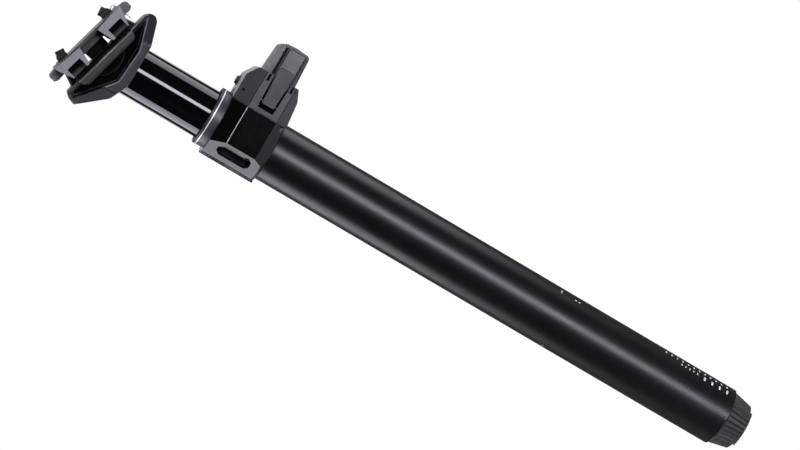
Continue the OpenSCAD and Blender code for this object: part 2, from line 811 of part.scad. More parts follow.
module latch_groove(deep) {
  along_y(-battery_hw - 1, -battery_hw + deep) polygon([
    [battery_x - 1, latch_z - latch_high_h / 2 - latch_gap],
    [battery_front - 1.8, latch_z - latch_high_h / 2 - latch_gap],
    [battery_front - 1.8, latch_z + latch_high_h / 2 + latch_gap],
    [battery_x - 1, latch_z + latch_high_h / 2 + latch_gap]]);
}

module battery_case() {
  color("#48484b") difference() {
    intersection() {
      along_x(battery_x + 1.6, battery_front) battery_section(0);
      along_y(-battery_hw, battery_hw) polygon([[battery_x, 0], [box_front, battery_low],
        [battery_front - 1.6, battery_low + 1], [battery_front - 0.5, battery_low + 2.1],
        [battery_front, battery_z], [battery_front - 0.4, battery_top - 3.4],
        [battery_front - 2.4, battery_top - 1.1], [box_front, battery_top], [battery_x, 40]]);
      linear_extrude(60) polygon([[battery_x, -battery_hw], [battery_front - 2.5, -battery_hw],
        [battery_front, -battery_hw + 2.5], [battery_front, battery_hw - 2.5],
        [battery_front - 2.5, battery_hw], [battery_x, battery_hw]]);
    }
    translate([battery_x, -battery_cell_hw, battery_low + battery_wall])
      cube([battery_front - battery_x - 2.6, 2 * battery_cell_hw, cell_h + 0.6]);
    latch_groove(groove_deep);
  }
}

module battery_cover() {
  color("#2c2c2e") difference() {
    along_x(battery_x, battery_x + 1.6) battery_section(0);
    latch_groove(groove_deep);
    for (y = contact_ys) translate([battery_x - 1, y - 1, contact_z - 1]) cube([1.6, 2, 2]);
  }
}

module battery_cells() {
  color("#3a6ea5") for (side = [-1, 1])
    translate([battery_x + 1.9, side > 0 ? 0.15 : 0.15 - battery_cell_hw, battery_low + battery_wall + 0.3])
      cube([battery_front - battery_x - 4.8, battery_cell_hw - 0.3, cell_h]);
}

module battery_contacts() {
  color("#d8b860") for (y = contact_ys)
    translate([battery_x, y - 0.95, contact_z - 0.95]) cube([0.6, 1.9, 1.9]);
}

// Yoke, clamp and bolts

// Children drawn about the tilt axis and turned with the clamp.
module tilted() {
  translate([0, 0, tilt_z]) rotate([0, clamp_tilt, 0]) children();
}

// Children drawn along a bolt, with its barrel nut at the origin and the head below.
module at_bolt(end) {
  tilted() translate([end * nut_e, 0, nut_n]) rotate([0, -end * bolt_splay, 0]) children();
}

// The yoke from above: it narrows towards both bolt ends.
module yoke_plan() {
  polygon([[-yoke_side_x, -yoke_hw], [yoke_side_x, -yoke_hw], [yoke_tip_x, -yoke_tip_hw - 0.6],
    [yoke_end_x, -yoke_tip_hw + 2], [yoke_end_x, yoke_tip_hw - 2], [yoke_tip_x, yoke_tip_hw + 0.6],
    [yoke_side_x, yoke_hw], [-yoke_side_x, yoke_hw], [-yoke_tip_x, yoke_tip_hw + 0.6],
    [-yoke_end_x, yoke_tip_hw - 2], [-yoke_end_x, -yoke_tip_hw + 2], [-yoke_tip_x, -yoke_tip_hw - 0.6]]);
}

module yoke_head() {
  color("#2b2b2e") difference() {
    intersection() {
      translate([0, 0, yoke_z]) along_y(-yoke_hw, yoke_hw) polygon(yoke_outline);
      translate([0, 0, yoke_z - 1]) linear_extrude(60) yoke_plan();
    }
    translate([0, 0, yoke_z - 1]) cylinder(r = stanchion_r + bond_gap, h = 1 + socket_h + bond_gap);
    both_sides() translate([0, 0, yoke_z]) along_y(web_hw, yoke_hw + 1) polygon(yoke_pocket);
    translate([0, yoke_hw + 2, tilt_z]) rotate([90, 0, 0])
      cylinder(r = seat_r + run_gap, h = 2 * yoke_hw + 4);
    for (end = [-1, 1]) at_bolt(end) {
      translate([0, 0, -bolt_reach]) cylinder(r = bolt_d / 2 + 0.45, h = bolt_reach + 5);
      translate([0, 0, -bolt_reach]) sphere(r = head_r + pivot_gap);
      translate([0, 0, -bolt_reach - 20]) cylinder(r = head_r + 0.3, h = 20);
    }
  }
}

// The lower half of the rail clamp: a rocker in the yoke's seat with a grooved wing on each side.
module cradle() {
  inner = yoke_hw + 0.6;
  color("#333337") tilted() difference() {
    union() {
      intersection() {
        translate([0, yoke_hw, 0]) rotate([90, 0, 0]) cylinder(r = seat_r, h = 2 * yoke_hw);
        translate([-30, -30, -30]) cube([60, 60, 30 - 0.5]);
      }
      both_sides() intersection() {
        along_y(inner, clamp_hw) polygon([[-rail_grip, -2], [-bar_half, -0.5], [bar_half, -0.5],
          [rail_grip, -2], [rail_grip - 1.6, -6.2], [rail_grip - 3.4, -7.4],
          [-rail_grip + 3.4, -7.4], [-rail_grip + 1.6, -6.2]]);
        along_x(-30, 30) polygon([[inner, -8], [clamp_hw - 1.2, -8], [clamp_hw, -6.6],
          [clamp_hw, -3], [rail_y, -3], [rail_y - 2.4, -0.5], [inner, -0.5]]);
      }
      both_sides() along_y(yoke_hw - 1, inner + 0.2) intersection() {
        circle(r = seat_r);
        translate([-30, -30]) square([60, 29.5]);
      }
    }
    both_sides() rail_groove();
  }
}

module rail_groove() {
  translate([-40, rail_y, 0]) rotate([0, 90, 0]) cylinder(r = rail_r, h = 80);
}

// The upper clamp from the side: two grip blocks under a top beam with ears.
module clamp_blocks() {
  for (side = [-1, 1]) polygon([[side * 22.3, clamp_top], [side * 22.6, clamp_top - 0.8],
    [side * rail_grip, -0.2], [side * block_in, -0.2], [side * (block_in - 2), clamp_top - 1]]);
}

module upper_clamp() {
  pocket_in = rail_grip - 9;
  color("#3a3a3e") tilted() difference() {
    union() {
      along_y(-beam_hw, beam_hw) polygon([[-22.3, clamp_top - 2], [22.3, clamp_top - 2],
        [22.1, clamp_top], [-22.1, clamp_top]]);
      along_y(-7.5, 7.5) polygon([[-clamp_half_len, clamp_top - 1.8], [-clamp_half_len + 1, clamp_top - 0.8],
        [-22, clamp_top - 0.2], [22, clamp_top - 0.2], [clamp_half_len - 1, clamp_top - 0.8],
        [clamp_half_len, clamp_top - 1.8], [clamp_half_len, clamp_top - 5],
        [clamp_half_len - 2, clamp_top - 6], [18, clamp_top - 5.6], [-18, clamp_top - 5.6],
        [-clamp_half_len + 2, clamp_top - 6], [-clamp_half_len, clamp_top - 5]]);
      both_sides() along_y(yoke_hw + 0.4, clamp_hw) clamp_blocks();
      both_sides() along_y(7, yoke_hw + 1) polygon([[-17, clamp_top - 5.6], [17, clamp_top - 5.6],
        [20, clamp_top - 1], [-20, clamp_top - 1]]);
      along_y(-10, 10) polygon([[-web_top, clamp_top - 5], [web_top, clamp_top - 5],
        [web_top - 0.2, 0], [0.2 - web_top, 0]]);
    }
    both_sides() {
      rail_groove();
      for (side = [-1, 1]) translate([side * (pocket_in + 4.2), 0, 0]) along_x(-4.2, 4.2)
        polygon([[rail_y, -1], [clamp_hw + 1, -1], [clamp_hw + 1, 5.4], [clamp_hw - 0.6, 5.2],
          [rail_y, rail_r - 0.3]]);
    }
    for (end = [-1, 1]) at_tilted_bolt(end) {
      translate([0, 0, -20]) cylinder(r = bolt_d / 2 + 0.9, h = 30);
      rotate([90, 0, 0]) cylinder(r = nut_r + 0.1, h = nut_w + 0.6, center = true);
      translate([-nut_r - 0.1, -nut_w / 2 - 0.3, 0]) cube([2 * nut_r + 0.2, nut_w + 0.6, 8]);
    }
  }
}

// As at_bolt, for use inside the tilted frame.
module at_tilted_bolt(end) {
  translate([end * nut_e, 0, nut_n]) rotate([0, -end * bolt_splay, 0]) children();
}

module clamp_bolt(end) {
  color("#17171a") at_bolt(end) difference() {
    union() {
      translate([0, 0, -bolt_reach]) cylinder(r = bolt_d / 2, h = bolt_reach + 3.8);
      intersection() {
        translate([0, 0, -bolt_reach]) sphere(r = head_r);
        translate([-10, -10, -bolt_reach - 2]) cube([20, 20, 20]);
      }
    }
    translate([0, 0, -bolt_reach - 3]) cylinder(r = 2, h = 4, $fn = 6);
  }
}

module front_bolt() { clamp_bolt(1); }
module rear_bolt() { clamp_bolt(-1); }

module barrel_nut(end) {
  color("#101013") at_bolt(end) difference() {
    union() {
      rotate([90, 0, 0]) cylinder(r = nut_r, h = nut_w, center = true);
      translate([-2.3, -3, 0]) cube([4.6, 6, 3.5]);
    }
    translate([0, 0, -10]) cylinder(r = bolt_d / 2 + 0.08, h = 20);
  }
}

module front_nut() { barrel_nut(1); }
module rear_nut() { barrel_nut(-1); }

lower_tube();
collar_body();
rear_cover();
collar_ring();
trim_ring();
wiper_seal();
foam_ring();
upper_bushing();
stanchion();
lower_bushing();
guide_keys();
seal_head();
shaft_seal();
yoke_head();
top_plug();
air_shaft();
air_piston();
piston_seals();
top_out_bumper();
base_plug();
plug_seal();
air_valve();
valve_pin();
bottom_cap();
cap_seal();
electronics_box();
box_gasket();
box_screws();
circuit_board();
servo_motor();
motor_pinion();
drive_gear();
gear_pin();
valve_plunger();
contact_pins();
function_button();
button_seal();
status_lens();
latch();
latch_pin();
battery_case();
battery_cover();
battery_cells();
battery_contacts();
cradle();
upper_clamp();
front_bolt();
rear_bolt();
front_nut();
rear_nut();
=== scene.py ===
import math

import bmesh
import bpy
from mathutils import Matrix, Vector
from mathutils.bvhtree import BVHTree


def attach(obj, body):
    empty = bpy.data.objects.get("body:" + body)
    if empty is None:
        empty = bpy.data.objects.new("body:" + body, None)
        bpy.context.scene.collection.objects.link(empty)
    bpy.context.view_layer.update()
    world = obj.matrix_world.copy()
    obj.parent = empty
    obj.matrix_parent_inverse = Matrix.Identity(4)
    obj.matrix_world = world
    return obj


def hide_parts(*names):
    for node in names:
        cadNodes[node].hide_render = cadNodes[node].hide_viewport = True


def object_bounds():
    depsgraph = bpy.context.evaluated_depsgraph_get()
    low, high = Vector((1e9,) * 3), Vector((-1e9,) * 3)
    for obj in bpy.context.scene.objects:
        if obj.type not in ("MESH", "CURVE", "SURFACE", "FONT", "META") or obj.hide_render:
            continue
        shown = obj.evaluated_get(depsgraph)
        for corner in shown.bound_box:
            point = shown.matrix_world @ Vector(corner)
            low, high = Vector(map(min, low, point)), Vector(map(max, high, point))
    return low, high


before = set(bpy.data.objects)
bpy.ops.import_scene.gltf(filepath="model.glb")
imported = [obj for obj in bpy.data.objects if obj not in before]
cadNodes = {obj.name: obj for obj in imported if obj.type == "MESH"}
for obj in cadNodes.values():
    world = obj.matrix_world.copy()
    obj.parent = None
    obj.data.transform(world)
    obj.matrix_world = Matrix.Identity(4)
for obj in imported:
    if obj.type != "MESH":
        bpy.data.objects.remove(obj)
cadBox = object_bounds()
mm = 0.001
headUp = (0.259, 0, 0.966)  # upwards on the clamp, which leans 15 degrees
print("frame loaded,", len(cadNodes), "CAD nodes")

# Camera: a long lens a little above the collar, rolled so that the post lies from upper left to lower right

cameraSetup = {
    "lens": 149.3,
    "sensor": 36,
    "nearClip": 0.05,
    "distance": 1704,
    "azimuth": 0.5,  # degrees round the post; 0 looks straight at the side with the latch
    "elevation": 8.05,
    "roll": 30.48,
    "aimHeight": -77.1,
    "aimAcross": 1.28,
}


def placeCamera(setup):
    turn, lift, roll = (math.radians(setup[key]) for key in ("azimuth", "elevation", "roll"))
    back = Vector((-math.sin(turn) * math.cos(lift), -math.cos(turn) * math.cos(lift), math.sin(lift)))
    across = Vector((math.cos(turn), -math.sin(turn), 0))
    upright = back.cross(across)
    right = math.sin(roll) * across - math.cos(roll) * upright
    up = math.cos(roll) * across + math.sin(roll) * upright
    aim = Vector((0, 0, setup["aimHeight"])) + across * setup["aimAcross"]
    place = (aim + back * setup["distance"]) * mm
    data = bpy.data.cameras.new("photoCamera")
    data.lens = setup["lens"]
    data.sensor_width = setup["sensor"]
    data.sensor_fit = "HORIZONTAL"
    data.clip_start = setup["nearClip"]
    photoCamera = bpy.data.objects.new("photoCamera", data)
    photoCamera.matrix_world = Matrix((
        (right.x, up.x, back.x, place.x), (right.y, up.y, back.y, place.y),
        (right.z, up.z, back.z, place.z), (0, 0, 0, 1)))
    bpy.context.collection.objects.link(photoCamera)
    bpy.context.scene.camera = photoCamera


placeCamera(cameraSetup)
print("camera placed")

# Materials: every finish has its own grain, colour drift and gloss drift, all on Object coordinates.
# A finish isn't metallic, and has an index of refraction of 1.5, where it doesn't say otherwise.

finishes = {
    "blastedBlack": {
        "colour": (0.0006, 0.0006, 0.0009), "drift": 0.35, "driftSize": 18, "grainSize": 2600, "grain": 0.14,
        "rough": 0.33, "roughDrift": 0.02, "speck": 0.02, "ior": 1.42},
    "polishedBlack": {
        "colour": (0.0015, 0.0015, 0.002), "drift": 0.2, "driftSize": 30, "grainSize": 900, "grain": 0.004,
        "rough": 0.07, "roughDrift": 0.03, "brushed": True},
    "forgedBlack": {
        "colour": (0.00595, 0.00595, 0.0068), "drift": 0.3, "driftSize": 40, "grainSize": 1500, "grain": 0.10,
        "rough": 0.42, "roughDrift": 0.08, "ior": 1.36},
    # Painted highlight: a light grey on the forged bevels, ledges and rims of yoke and rocker, for the light
    # they catch.
    "paintedLightForgedEdge": {
        "colour": (0.12, 0.12, 0.125), "drift": 0.3, "driftSize": 40, "grainSize": 1500, "grain": 0.10,
        "rough": 0.40, "roughDrift": 0.08},
    # Painted light: the grip blocks' outer sides and the rear ear are made lighter than the rest of the clamp.
    "paintedLightClampFace": {
        "colour": (0.1653, 0.1653, 0.174), "drift": 0.14, "driftSize": 120, "grainSize": 2400, "grain": 0.14,
        "rough": 0.5, "roughDrift": 0.08},
    # Painted light on the yoke's rear flanks, lighter than the forged black.
    "paintedLightFlank": {
        "colour": (0.035, 0.035, 0.037), "drift": 0.3, "driftSize": 40, "grainSize": 1500, "grain": 0.10,
        "rough": 0.42, "roughDrift": 0.08},
    # Painted shade: the front ear is kept darker than the rear ear.
    "paintedShadeEar": {
        "colour": (0.02, 0.02, 0.021), "drift": 0.5, "driftSize": 260, "grainSize": 1500, "grain": 0.12,
        "rough": 0.42, "roughDrift": 0.08},
    # Painted light and shade in the rail grooves: dark at the top of a groove, lighter towards its bottom.
    "grooveShade": {
        "colour": (0.09, 0.09, 0.095), "drift": 0.2, "driftSize": 120, "grainSize": 2400, "grain": 0.1,
        "rough": 0.5, "roughDrift": 0.08, "ior": 1.12,
        "fade": {"across": headUp, "from": 99.6, "to": 96, "least": 0.03}},
    # Painted light and shade on the web's sides: a light colour, darkened towards its foot.
    "webShade": {
        "colour": (0.2, 0.2, 0.205), "drift": 0.2, "driftSize": 120, "grainSize": 2400, "grain": 0.1,
        "rough": 0.5, "roughDrift": 0.08, "ior": 1.1,
        "fade": {"across": headUp, "from": 102, "to": 105, "least": 0.01}},
    "glossAnodised": {
        "colour": (0.006, 0.006, 0.007), "drift": 0.5, "driftSize": 60, "grainSize": 1200, "grain": 0.02,
        "rough": 0.20, "roughDrift": 0.06},
    # Painted shade on the collar's flat sides: a darker colour and a weaker reflection than the rest of the
    # collar.
    "paintedShadeAnodised": {
        "colour": (0.0015, 0.0018, 0.0022), "drift": 0.6, "driftSize": 110, "grainSize": 1200, "grain": 0.02,
        "rough": 0.30, "roughDrift": 0.05, "ior": 1.1},
    # Painted shading on the collar's lower bevel: a brownish tint and a weaker reflection.
    "lowBevelAnodised": {
        "colour": (0.006, 0.0055, 0.0055), "drift": 0.5, "driftSize": 60, "grainSize": 1200, "grain": 0.02,
        "rough": 0.26, "roughDrift": 0.06, "ior": 1.33},
    # Painted highlight: a pale line along the collar's upper edge.
    "paintedHighlightEdge": {
        "colour": (0.30, 0.30, 0.31), "drift": 0.2, "driftSize": 200, "grainSize": 1600, "grain": 0.05,
        "rough": 0.35, "roughDrift": 0.05, "metallic": 0.3},
    "satinAnodised": {
        "colour": (0.030, 0.030, 0.033), "drift": 0.3, "driftSize": 60, "grainSize": 1600, "grain": 0.08,
        "rough": 0.42, "roughDrift": 0.08},
    "satinSilver": {
        "colour": (0.78, 0.78, 0.79), "drift": 0.06, "driftSize": 80, "grainSize": 1800, "grain": 0.05,
        "rough": 0.42, "roughDrift": 0.08, "metallic": 0.35},
    "bareMetal": {
        "colour": (0.50, 0.51, 0.53), "drift": 0.15, "driftSize": 60, "grainSize": 1400, "grain": 0.06,
        "rough": 0.32, "roughDrift": 0.1, "metallic": 1.0},
    "boltBlack": {
        "colour": (0.005, 0.005, 0.006), "drift": 0.4, "driftSize": 200, "grainSize": 3200, "grain": 0.12,
        "rough": 0.38, "roughDrift": 0.08, "ior": 1.27},
    "brassPart": {
        "colour": (0.62, 0.43, 0.17), "drift": 0.15, "driftSize": 90, "grainSize": 1500, "grain": 0.05,
        "rough": 0.3, "roughDrift": 0.1, "metallic": 1.0},
    "sealRubber": {
        "colour": (0.010, 0.010, 0.011), "drift": 0.3, "driftSize": 120, "grainSize": 1600, "grain": 0.12,
        "rough": 0.5, "roughDrift": 0.1},
    "bushingPlastic": {
        "colour": (0.16, 0.13, 0.06), "drift": 0.2, "driftSize": 90, "grainSize": 1500, "grain": 0.08,
        "rough": 0.45, "roughDrift": 0.1},
    "boxPlastic": {
        "colour": (0.01092, 0.01092, 0.01248), "drift": 0.3, "driftSize": 110, "grainSize": 3800, "grain": 0.16,
        "rough": 0.45, "roughDrift": 0.08},
    # Painted light: the box's top is made lighter than its sides.
    "paintedLightBoxTop": {
        "colour": (0.16, 0.16, 0.165), "drift": 0.3, "driftSize": 110, "grainSize": 3400, "grain": 0.22,
        "rough": 0.42, "roughDrift": 0.1},
    "batteryPlastic": {
        "colour": (0.0288, 0.0288, 0.0312), "drift": 0.18, "driftSize": 90, "grainSize": 3800, "grain": 0.18,
        "rough": 0.48, "roughDrift": 0.08},
    # Painted light on a panel of the battery's near side.
    "paintedLightPanel": {
        "colour": (0.0663, 0.0663, 0.0697), "drift": 0.2, "driftSize": 70, "grainSize": 3800, "grain": 0.2,
        "rough": 0.5, "roughDrift": 0.08},
    "latchPlastic": {
        "colour": (0.0117, 0.0117, 0.01404), "drift": 0.3, "driftSize": 90, "grainSize": 3800, "grain": 0.18,
        "rough": 0.5, "roughDrift": 0.08},
    "capPlastic": {
        "colour": (0.018, 0.018, 0.020), "drift": 0.3, "driftSize": 90, "grainSize": 2000, "grain": 0.15,
        "rough": 0.42, "roughDrift": 0.1},
    "gearPlastic": {
        "colour": (0.75, 0.73, 0.68), "drift": 0.08, "driftSize": 90, "grainSize": 1500, "grain": 0.05,
        "rough": 0.4, "roughDrift": 0.1},
    "boardGreen": {
        "colour": (0.02, 0.13, 0.05), "drift": 0.3, "driftSize": 300, "grainSize": 1500, "grain": 0.05,
        "rough": 0.3, "roughDrift": 0.1},
    "cellWrap": {
        "colour": (0.03, 0.12, 0.30), "drift": 0.1, "driftSize": 90, "grainSize": 1200, "grain": 0.03,
        "rough": 0.3, "roughDrift": 0.1},
    "lensDark": {
        "colour": (0.004, 0.004, 0.004), "drift": 0.1, "driftSize": 90, "grainSize": 900, "grain": 0.0,
        "rough": 0.1, "roughDrift": 0.02},
    # Painted shade: a near-black for faces in pockets, recesses and grooves and for the collar's upper bevel.
    "paintedShadeBlack": {
        "colour": (0.002, 0.002, 0.002), "drift": 0.3, "driftSize": 90, "grainSize": 1500, "grain": 0.05,
        "rough": 0.7, "roughDrift": 0.1, "ior": 1.08},
    "darkSteel": {
        "colour": (0.06, 0.06, 0.065), "drift": 0.2, "driftSize": 90, "grainSize": 1500, "grain": 0.05,
        "rough": 0.4, "roughDrift": 0.1, "metallic": 1.0},
    "paintedMark": {
        "colour": (0.62, 0.62, 0.63), "drift": 0.25, "driftSize": 900, "grainSize": 2600, "grain": 0.1,
        "rough": 0.5, "roughDrift": 0.1},
}

grainSetup = {
    "noiseRange": (0.3, 0.7),  # the part of the noise that colour and gloss drift are spread over
    "driftDetail": 3,
    "speckFineness": 1.3,
    "speckRange": (0.62, 0.78),
    "speckDetail": 1,
    "glossFineness": 3.1,
    "glossDetail": 4,
    "brushStretch": (1, 1, 0.08),  # drawn out along the post
    "bumpDepth": 0.0002,
    "bumpDetail": 2,
}


def makeFinish(name, values):
    material = bpy.data.materials.new(name)
    material.use_nodes = True
    tree = material.node_tree
    shader = tree.nodes["Principled BSDF"]
    shader.inputs["Metallic"].default_value = values.get("metallic", 0)
    shader.inputs["IOR"].default_value = values.get("ior", 1.5)
    where = tree.nodes.new("ShaderNodeTexCoord")

    def noise(scale, detail, stretch=None):
        node = tree.nodes.new("ShaderNodeTexNoise")
        node.inputs["Scale"].default_value = scale
        node.inputs["Detail"].default_value = detail
        source = where.outputs["Object"]
        if stretch:
            mapping = tree.nodes.new("ShaderNodeMapping")
            mapping.inputs["Scale"].default_value = stretch
            tree.links.new(source, mapping.inputs["Vector"])
            source = mapping.outputs["Vector"]
        tree.links.new(source, node.inputs["Vector"])
        return node.outputs["Fac"]

    def spread(source, reach, low, high):
        node = tree.nodes.new("ShaderNodeMapRange")
        for key, value in zip(("From Min", "From Max", "To Min", "To Max"), (*reach, low, high)):
            node.inputs[key].default_value = value
        tree.links.new(source, node.inputs["Value"])
        return node.outputs["Result"]

    drift = noise(values["driftSize"], grainSetup["driftDetail"])
    tone = tree.nodes.new("ShaderNodeMix")
    tone.data_type = "RGBA"
    dark = [c * (1 - values["drift"]) for c in values["colour"]]
    light = [min(1, c * (1 + values["drift"])) for c in values["colour"]]
    tone.inputs["A"].default_value = (*dark, 1)
    tone.inputs["B"].default_value = (*light, 1)
    tree.links.new(spread(drift, grainSetup["noiseRange"], 0, 1), tone.inputs["Factor"])
    colour = tone.outputs["Result"]
    # The bright grains are painted glints: the sparkle of the blasted surface put into its colour.
    if "speck" in values:  # tiny bright grains of a blasted surface
        grains = noise(values["grainSize"] * grainSetup["speckFineness"], grainSetup["speckDetail"])
        bright = tree.nodes.new("ShaderNodeMix")
        bright.data_type = "RGBA"
        bright.inputs["B"].default_value = (values["speck"],) * 3 + (1,)
        tree.links.new(spread(grains, grainSetup["speckRange"], 0, 1), bright.inputs["Factor"])
        tree.links.new(colour, bright.inputs["A"])
        colour = bright.outputs["Result"]
    # Painted shade: the colour is scaled down along one direction, to its least share at one end.
    if "fade" in values:  # darker towards the deep end of a recess
        fade = values["fade"]
        depth = tree.nodes.new("ShaderNodeVectorMath")
        depth.operation = "DOT_PRODUCT"
        depth.inputs[1].default_value = fade["across"]
        tree.links.new(where.outputs["Object"], depth.inputs[0])
        shade = tree.nodes.new("ShaderNodeVectorMath")
        shade.operation = "SCALE"
        tree.links.new(colour, shade.inputs[0])
        reach = (fade["from"] * mm, fade["to"] * mm)
        tree.links.new(spread(depth.outputs["Value"], reach, fade["least"], 1), shade.inputs["Scale"])
        colour = shade.outputs["Vector"]
    tree.links.new(colour, shader.inputs["Base Color"])

    stretch = grainSetup["brushStretch"] if values.get("brushed") else None
    gloss = noise(values["driftSize"] * grainSetup["glossFineness"], grainSetup["glossDetail"], stretch)
    smooth, coarse = values["rough"] - values["roughDrift"], values["rough"] + values["roughDrift"]
    tree.links.new(spread(gloss, grainSetup["noiseRange"], smooth, coarse), shader.inputs["Roughness"])
    if values["grain"]:
        bump = tree.nodes.new("ShaderNodeBump")
        bump.inputs["Strength"].default_value = values["grain"]
        bump.inputs["Distance"].default_value = grainSetup["bumpDepth"]
        tree.links.new(noise(values["grainSize"], grainSetup["bumpDetail"]), bump.inputs["Height"])
        tree.links.new(bump.outputs["Normal"], shader.inputs["Normal"])
    return material


paint = {name: makeFinish(name, values) for name, values in finishes.items()}
print("materials made,", len(paint))

# Every CAD node gets a finish here, also those that a finished piece stands for further on

nodeFinish = {
    "blastedBlack": ["lower_tube"],
    "polishedBlack": ["stanchion", "collar_body"],
    "forgedBlack": ["yoke_head", "cradle", "upper_clamp"],
    "satinAnodised": ["collar_ring"],
    "glossAnodised": ["top_plug", "seal_head", "base_plug", "air_piston"],
    "satinSilver": ["trim_ring"],
    "bareMetal": ["air_shaft", "gear_pin", "valve_pin"],
    "darkSteel": ["latch_pin", "box_screws"],
    "boltBlack": ["front_bolt", "rear_bolt", "front_nut", "rear_nut"],
    "brassPart": ["air_valve", "contact_pins", "battery_contacts", "guide_keys"],
    "sealRubber": ["wiper_seal", "foam_ring", "shaft_seal", "piston_seals", "top_out_bumper", "plug_seal",
                   "cap_seal", "box_gasket", "button_seal"],
    "bushingPlastic": ["upper_bushing", "lower_bushing"],
    "boxPlastic": ["electronics_box", "rear_cover"],
    "batteryPlastic": ["battery_case", "function_button"],
    "latchPlastic": ["latch"],
    "capPlastic": ["bottom_cap", "battery_cover"],
    "gearPlastic": ["motor_pinion", "drive_gear"],
    "lensDark": ["status_lens", "servo_motor", "valve_plunger"],
    "boardGreen": ["circuit_board"],
    "cellWrap": ["battery_cells"],
}

for finish, group in nodeFinish.items():
    for nodeName in group:
        for materialSlot in cadNodes[nodeName].material_slots:
            materialSlot.material = paint[finish]

# Helpers that turn points and CAD copies into finished pieces


def coat(piece, finish):
    piece.data.materials.clear()
    piece.data.materials.append(paint[finish])


def evaluatedMesh(holder):
    graph = bpy.context.evaluated_depsgraph_get()
    return bpy.data.meshes.new_from_object(holder.evaluated_get(graph))


def closedMesh(name, points, faces):  # the faces of a closed form are turned to point outwards
    mesh = bpy.data.meshes.new(name)
    mesh.from_pydata(points, [], faces)
    form = bmesh.new()
    form.from_mesh(mesh)
    bmesh.ops.recalc_face_normals(form, faces=form.faces)
    form.to_mesh(mesh)
    form.free()
    return mesh


def keepPiece(name, mesh, finish, body, sharp=30):
    piece = bpy.data.objects.new(name, mesh)
    bpy.context.collection.objects.link(piece)
    if sharp is not None:
        mesh.shade_smooth()
        mesh.set_sharp_from_angle(angle=math.radians(sharp))
    if finish:
        coat(piece, finish)
    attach(piece, body)
    return piece


def above(low):
    return low, math.inf


def below(high):
    return -math.inf, high


def faceMeasures(face):  # its place in mm and the way it looks; "aside" is the same to the left and to the right
    place, facing = face.center / mm, face.normal
    return {
        "x": place.x, "y": place.y, "z": place.z, "aside": abs(place.y),
        "headHeight": headUp[0] * place.x + headUp[2] * place.z,
        "facesX": facing.x, "facesY": facing.y, "facesZ": facing.z, "facesAside": abs(facing.y),
    }


def paintFaces(piece, rules):
    materials = piece.data.materials
    for finish, limits in rules:
        if materials.find(finish) < 0:
            materials.append(paint[finish])
        index = materials.find(finish)
        for face in piece.data.polygons:
            measures = faceMeasures(face)
            if all(low < measures[key] < high for key, (low, high) in limits.items()):
                face.material_index = index


roundSetup = {
    "weld": 2e-6,  # metres
    "flatAngle": 1,  # faces that meet at less than this become one before the edges are rounded
    "segments": 2,
    "strayShare": 0.45,  # of the edge's width; a corner that lies further off the surface is pulled back
}


def pullBack(name, solid, surface, limit):  # corners that the bevel threw off the surface return to it
    moved = 0
    for vertex in solid.vertices:
        place, _, _, distance = surface.find_nearest(vertex.co)
        if distance > limit:
            vertex.co = place
            moved += 1
    print(name, "corners pulled back:", moved)


def roundedCopy(name, source, finish, body, setup, edit=None):
    mesh = bpy.data.meshes.new(name)
    form = bmesh.new()
    form.from_mesh(cadNodes[source].data)
    bmesh.ops.remove_doubles(form, verts=form.verts, dist=roundSetup["weld"])
    if edit:
        edit(form)
    flatAngle = math.radians(setup.get("flatAngle", roundSetup["flatAngle"]))
    bmesh.ops.dissolve_limit(form, angle_limit=flatAngle, verts=form.verts, edges=form.edges)
    form.to_mesh(mesh)
    surface = BVHTree.FromBMesh(form)
    form.free()
    piece = bpy.data.objects.new(name, mesh)
    bpy.context.collection.objects.link(piece)
    bevel = piece.modifiers.new("edgeRound", "BEVEL")
    bevel.width = setup["edge"] * mm
    bevel.segments = roundSetup["segments"]
    bevel.limit_method = "ANGLE"
    bevel.angle_limit = math.radians(setup["edgeAngle"])
    bevel.use_clamp_overlap = False
    weigh = piece.modifiers.new("flatFaces", "WEIGHTED_NORMAL")
    weigh.keep_sharp = True
    mesh.shade_smooth()
    bpy.context.view_layer.update()
    solid = evaluatedMesh(piece)
    piece.modifiers.clear()
    piece.data = solid
    pullBack(name, solid, surface, roundSetup["strayShare"] * setup["edge"] * mm)
    coat(piece, finish)
    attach(piece, body)
    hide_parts(source)
    paintFaces(piece, setup.get("faces", []))
    return piece


# Studio: a white wall behind the post that its gloss reflects, a dark room elsewhere, and four soft boxes.
# The camera sees white all round, and a pale floor that is clear from below.

studio = {
    "roomGlow": 0.01,
    "wallHalfAngle": 34,
    "wallSoftness": 0.04,
    "floorDrop": 620,
    "floorReach": 12,  # metres
    "floorColour": 0.86,
    "floorRough": 0.9,
    "floorGlow": 1.06,
    "floorGlowShare": 0.96,
    "lampAim": (0, 0, -0.08),  # metres
    "lamps": [
        # name, place (mm), size (mm), power, tint
        ("leftBox", (-900, 200, 165), (700, 900), 10, (0.89, 0.9, 1)),
        ("rightBox", (900, 200, 165), (700, 900), 6.4, (0.89, 0.9, 1)),
        ("frontStrip", (470, -1650, -60), (390, 1700), 32, (0.89, 0.9, 1)),
        ("topBox", (0, 150, 1250), (900, 700), 19, (0.9, 0.91, 1)),
    ],
}


